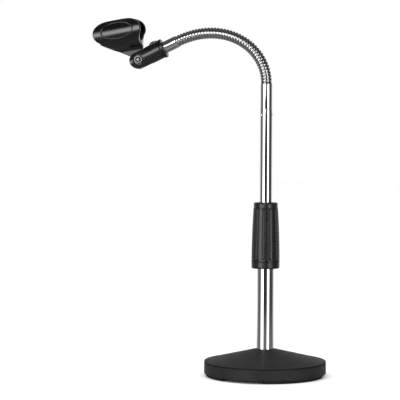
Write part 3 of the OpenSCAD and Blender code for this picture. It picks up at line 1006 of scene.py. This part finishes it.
def make_upper_ferrule(neck):
    """Ferrule between the coil and the barrel, with a rolled mouth."""
    end, outward = neck.at([neck.length])
    place = frame_at(end[0], (-outward[0][2], 0, outward[0][0])) @ Z_TO_X
    radius = (high("upper_ferrule") - low("upper_ferrule")).y / 2
    coil, floor = COIL_R + FIT, UPPER_LEN - UPPER_FLOOR
    outline = rounded([
        (coil, 0, 0.05), (radius - 0.4, 0, 0.2), (radius, 1.4, 1.0), (radius, UPPER_LEN - 0.5, 0.4),
        (radius - 0.4, UPPER_LEN, 0.2), (STUD_R, UPPER_LEN), (STUD_R, floor), (coil, floor),
    ])
    shape = placed(lathe(outline, 128), place)
    make_piece("upper_ferrule_chrome", shape, "tube_chrome", "neck_end", ["upper_ferrule"])


# ---- swivel barrel, screw and clip

PIVOT = np.array(JOINTS["clip_tilt"]["pos_m"]) / MM
BARREL_AHEAD = -Vector(JOINTS["clip_turn"]["axis"])
BARREL_PLACE = frame_at(PIVOT, BARREL_AHEAD)
BARREL_R = 11.6
BARREL_LEN = 34.8
FLANGE_R = 12.25
FLANGE_START = 30.3
FLANGE_GROOVE = 0.7
INSERT_R = 9.6
INSERT_LEN = 16
INSERT_SINK = 1
INSERT_POCKET = 12.5
INSERT_PITCH = 0.94
STUD_HOLE_R = 8.0
SLOT_HALF_W = 4.6
SLOT_FLOOR = 12.5
SCREW_R = 3.0
NUT_POCKET_R = 6.45
NUT_SEAT = 3.6
HUB_SEAT = 1.4
HUB_R = 6.0


def barrel_field(p):
    """Barrel without its flange: pivot at the origin, threaded end towards +X."""
    x, y, z = p.T
    round_x = np.hypot(y, z)
    round_y = np.hypot(x, z)
    body = smooth_max(round_x - BARREL_R, x - FLANGE_START, 0.9)
    nose = np.where(x < 0, round_y, np.abs(z)) - BARREL_R
    body = smooth_max(body, nose, 1.4)
    slot = smooth_max(np.abs(y) - SLOT_HALF_W, x - SLOT_FLOOR, 1.5)
    body = smooth_max(body, -slot, 0.9)
    body = smooth_max(body, -np.maximum(round_x - INSERT_R, FLANGE_START - INSERT_POCKET - x), 0.3)
    body = smooth_max(body, -(round_y - SCREW_R - FIT), 0.3)
    pocket = smooth_max(round_y - NUT_POCKET_R, y + BARREL_R - NUT_SEAT, 0.3)
    seat = smooth_max(round_y - HUB_R - 0.5, BARREL_R - HUB_SEAT - y, 0.3)
    body = smooth_max(body, -pocket, 0.7)
    return smooth_max(body, -seat, 0.5)


def make_barrel():
    """Barrel, and its flange with a groove and a rounded end that covers the insert."""
    reach = 13
    body = surface_net(barrel_field, (-reach,) * 3, (FLANGE_START + 1, reach, reach), 0.4)
    make_piece("swivel_barrel", placed(body, BARREL_PLACE), "barrel_plastic", "clip_barrel", ["clip_barrel"],
               sharp=60)
    start, end, mouth = FLANGE_START + 0.02, BARREL_LEN, BARREL_LEN - INSERT_SINK
    groove, groove_r = start + 2.2, FLANGE_R - FLANGE_GROOVE
    outline = rounded([
        (INSERT_R, start), (BARREL_R - 0.8, start), (BARREL_R - 0.5, start + 0.3, 0.2),
        (FLANGE_R, start + 0.7, 0.4), (FLANGE_R, groove - 0.5, 0.2), (groove_r, groove - 0.3, 0.1),
        (groove_r, groove + 0.3, 0.1), (FLANGE_R, groove + 0.5, 0.2), (FLANGE_R, end, 2.6),
        (STUD_HOLE_R, end, 0.3), (STUD_HOLE_R, mouth), (INSERT_R, mouth),
    ])
    flange = placed(lathe(outline, 96), BARREL_PLACE @ Z_TO_X)
    make_piece("barrel_flange", flange, "barrel_plastic", "clip_barrel")


def make_insert():
    """Brass insert pressed in the barrel, with thread grooves along its bore."""
    end = BARREL_LEN - INSERT_SINK
    start = end - INSERT_LEN
    bore, outer = STUD_HOLE_R - 0.05, INSERT_R - 0.02
    outline = [(outer, end), (outer, start)]
    for k in range(int(INSERT_LEN / INSERT_PITCH)):
        z = start + k * INSERT_PITCH
        outline += [(bore, z + 0.1), (bore + 0.55, z + INSERT_PITCH / 2)]
    outline.append((bore, end))
    shape = placed(lathe(outline, 96), BARREL_PLACE @ Z_TO_X)
    make_piece("brass_insert", shape, "brass", "clip_barrel", ["thread_insert"], sharp=30)


NUT_HALF = 5.0
NUT_THICK = 3.2
NUT_WEAR = 0.35


def make_nut():
    """Hex nut with worn corners in the barrel's pocket, and a chamfered hole."""
    nut = hex_field(NUT_HALF, 0, NUT_THICK, 0.3)

    def field(p):
        x, y, z = p.T
        round_z = np.hypot(x, y)
        bore = round_z - SCREW_R - 0.06
        sink = (round_z - SCREW_R - 0.75 + np.minimum(z, NUT_THICK - z)) / 1.4
        body = smooth_max(nut(p), round_z - NUT_HALF - NUT_WEAR, 0.3)
        return smooth_max(body, -np.minimum(bore, sink), 0.12)

    reach, past = 6.2, 0.4
    shape = surface_net(field, (-reach, -reach, -past), (reach, reach, NUT_THICK + past), 0.2)
    place = BARREL_PLACE @ Matrix.Translation((0, NUT_SEAT - BARREL_R, 0)) @ Z_TO_MINUS_Y
    make_piece("hex_nut", placed(shape, place), "zinc_steel", "clip_barrel", ["pivot_nut"])


LEVER_TURN = math.radians(56)
LEVER_PLACE = frame_at(PIVOT, (math.cos(LEVER_TURN), 0, math.sin(LEVER_TURN)))
LEVER_PLANE = 17.8
LEVER_LEN = 23
ARM_HALF_W = 3.7
LEVER_THICK = 4
PADDLE_MID = (24, -1.1)
PADDLE_HALF = (3.6, 2.1)
PADDLE_ROUND = 1.9
RIBS = 4
RIB_PITCH = 2.4
RIB_R = 0.5


def lever_field(p):
    """Lever: hub round the screw, flat arm, and a ribbed paddle that lies along the barrel."""
    x, y, z = p.T
    top = LEVER_PLANE + LEVER_THICK
    hub = smooth_max(np.hypot(x, z) - HUB_R, slab_field(y, BARREL_R - HUB_SEAT + FIT, top), 1.0)
    reach = LEVER_LEN / 2
    arm = np.hypot(np.maximum(np.abs(x - reach) - reach, 0), z) - ARM_HALF_W
    turn = LEVER_TURN - math.atan2(BARREL_AHEAD.z, BARREL_AHEAD.x)
    from_x, from_z = x - PADDLE_MID[0], z - PADDLE_MID[1]
    along = from_x * math.cos(turn) - from_z * math.sin(turn)
    across = from_x * math.sin(turn) + from_z * math.cos(turn)
    past_end, past_side = np.abs(along) - PADDLE_HALF[0], np.abs(across) - PADDLE_HALF[1]
    paddle = np.hypot(np.maximum(past_end, 0), np.maximum(past_side, 0)) - PADDLE_ROUND
    handle = smooth_max(smooth_min(arm, paddle, 4.0), slab_field(y, LEVER_PLANE, top), 1.6)
    for k in range(RIBS):
        rib = np.hypot(along - RIB_PITCH * (k - (RIBS - 1) / 2), y - top - 0.05) - RIB_R
        handle = smooth_max(handle, -rib, 0.3)
    bore = np.maximum(np.hypot(x, z) - SCREW_R, y - LEVER_PLANE)
    return smooth_max(smooth_min(hub, handle, 2.0), -bore, 0.2)


def make_lever():
    """Lever on the far end of the screw."""
    shape = surface_net(lever_field, (-7, 9, -8), (LEVER_LEN + 9, 23, 8), 0.3)
    make_piece("wing_lever", placed(shape, LEVER_PLACE), "barrel_plastic", "pivot_screw", ["screw_lever"],
               sharp=60)


SCREW_PITCH = 1.0
THREAD_END = -2.0


def make_screw():
    """Pivot screw: thread crests near its bright, chamfered tip."""
    tip = -BARREL_R - 0.4
    outline = [(0, tip), (1.75, tip, 0.15), (2.35, tip + 0.55)]
    z = tip + 0.9
    while z < THREAD_END:
        outline += [(SCREW_R - 0.45, z), (SCREW_R, z + SCREW_PITCH * 0.4), (SCREW_R, z + SCREW_PITCH * 0.55)]
        z += SCREW_PITCH
    outline += [(SCREW_R, z), (SCREW_R, LEVER_PLANE), (0, LEVER_PLANE)]
    shape = placed(lathe(rounded(outline), 64), LEVER_PLACE @ Z_TO_Y)
    make_piece("threaded_screw", shape, "zinc_steel", "pivot_screw", ["pivot_screw"], sharp=30)


# The place and size of the microphone that the clip holds, from its mount
MIC_GRIP = next(mount for mount in frame["record"]["mounts"] if mount["name"] == "mic_grip")
MIC_R = MIC_GRIP["dims"]["r_mm"]
CLIP_PLACE = frame_at(PIVOT, -Vector(MIC_GRIP["axis"]))
MIC_MID = CLIP_PLACE.inverted() @ Vector(np.array(MIC_GRIP["pos_m"]) / MM)
MIC_AXIS = MIC_MID.z
SHELL_MID = MIC_AXIS - 1.4
SHELL_HALF_W = 17
SHELL_HALF_H = 20.8
MOUTH_HALF_W = 8.5
SIDE_MID = (MIC_MID.x, MIC_AXIS + 1.3)
SIDE_HALF = (MIC_GRIP["dims"]["length_mm"] / 2, 16.4)
SIDE_POWER = 2.3
# Outline of the web that joins the shell to the tongue
KEEL = [(-42.5, 25.5), (-9.1, 4.9), (5.6, 8), (5.8, 20), (6, 28), (-20, 34)]
TONGUE_HALF_W = 4.15
TONGUE_R = 10.3
PANEL_MID = (MIC_MID.x + 0.3, MIC_AXIS + 2.3)
PANEL_HALF = (20.5, 10)
PANEL_DEPTH = 1.3
BEAD_R = 1.1
BEAD_RISE = 0.45


def clip_field(p):
    """Microphone clip: oval walls round an open bore, sunk side panels, and a tongue round the pivot."""
    x, y, z = p.T
    wall = oval_field(y, z - SHELL_MID, SHELL_HALF_W, SHELL_HALF_H)
    keel = polygon_field(x, z, KEEL)
    side = oval_field(x - SIDE_MID[0], z - SIDE_MID[1], *SIDE_HALF, SIDE_POWER)
    side = smooth_min(side, keel, 5)
    shell = smooth_max(wall, side, 1.6)
    disc = smooth_min(np.hypot(x, z) - TONGUE_R, keel, 2.5)
    tongue = smooth_max(disc, np.abs(y) - TONGUE_HALF_W, 0.8)
    body = smooth_min(shell, tongue, 3.5)
    bore = np.hypot(y, z - MIC_AXIS) - MIC_R
    body = smooth_max(body, -bore, 0.9)
    mouth = np.maximum(np.abs(y) - MOUTH_HALF_W, MIC_AXIS - z)
    body = smooth_max(body, -mouth, 1.2)
    panel = oval_field(x - PANEL_MID[0], z - PANEL_MID[1], *PANEL_HALF)
    body = smooth_max(body, smooth_min(-panel, wall + PANEL_DEPTH, 0.8), 1.0)
    return smooth_max(body, -(np.hypot(x, z) - SCREW_R - FIT), 0.3)


def panel_rims():
    """Thin raised bead round each side panel, lying on the wall."""
    turns = np.linspace(0, 2 * math.pi, 193)[:-1]
    x = PANEL_MID[0] + PANEL_HALF[0] * np.cos(turns)
    z = PANEL_MID[1] + PANEL_HALF[1] * np.sin(turns)
    depth = SHELL_HALF_W * np.sqrt(1 - ((z - SHELL_MID) / SHELL_HALF_H) ** 2)
    shapes = []
    for side in (-1, 1):
        path = np.stack([x, side * (depth + BEAD_RISE - BEAD_R), z], axis=1)
        ahead = unit(np.roll(path, -1, axis=0) - np.roll(path, 1, axis=0))
        outward = [0 * x, side * depth / SHELL_HALF_W**2, (z - SHELL_MID) / SHELL_HALF_H**2]
        outward = unit(np.stack(outward, axis=1))
        rings = oval_rings(path, outward, np.cross(ahead, outward), BEAD_R, BEAD_R, 12)
        shapes.append(ring_grid(rings, closed=True))
    return joined(*shapes)


def make_clip():
    """The clip, and the beads on its sides."""
    shape = placed(surface_net(clip_field, (-53, -18.2, -11.5), (14, 18.2, 57.5), 0.45), CLIP_PLACE)
    make_piece("microphone_clip", shape, "clip_plastic", "clip_body", ["clip_body"], sharp=60)
    make_piece("clip_panel_rims", placed(panel_rims(), CLIP_PLACE), "clip_plastic", "clip_body")


# ---- inner pieces


def finish_inner_pieces():
    """Materials of the pieces that keep their CAD shape."""
    kept = {
        "zinc_steel": (
            "base_washer", "base_lock_washer", "base_plug", "clutch_sleeve", "tube_plug", "ferrule_stud",
            "thread_stud",
        ),
        "nylon": ("clutch_collet", "guide_bush"),
        "rubber": ("friction_washers",),
    }
    for material, nodes in kept.items():
        for node in nodes:
            mesh = frame["nodes"][node].data
            mesh.materials.clear()
            mesh.materials.append(MATERIALS[material])


# ---- the whole object

MATERIALS = {make.__name__: make() for make in (
    powder_coat, rubber, tube_chrome, coil_chrome, zinc_steel, grip_plastic, clip_plastic, barrel_plastic,
    nylon, brass,
)}

add_camera()
add_room()
add_floor()
add_lights()
bpy.context.scene.view_settings.view_transform = "Standard"

make_base()
for pad in ("left_foot_pad", "right_foot_pad", "rear_foot_pad"):
    make_foot_pad(pad)
make_base_bolt()
make_outer_tube()
make_inner_tube()
make_collar()
make_grip()
make_lower_ferrule()
neck = Neck()
make_neck(neck)
make_upper_ferrule(neck)
make_barrel()
make_insert()
make_nut()
make_screw()
make_lever()
make_clip()
finish_inner_pieces()
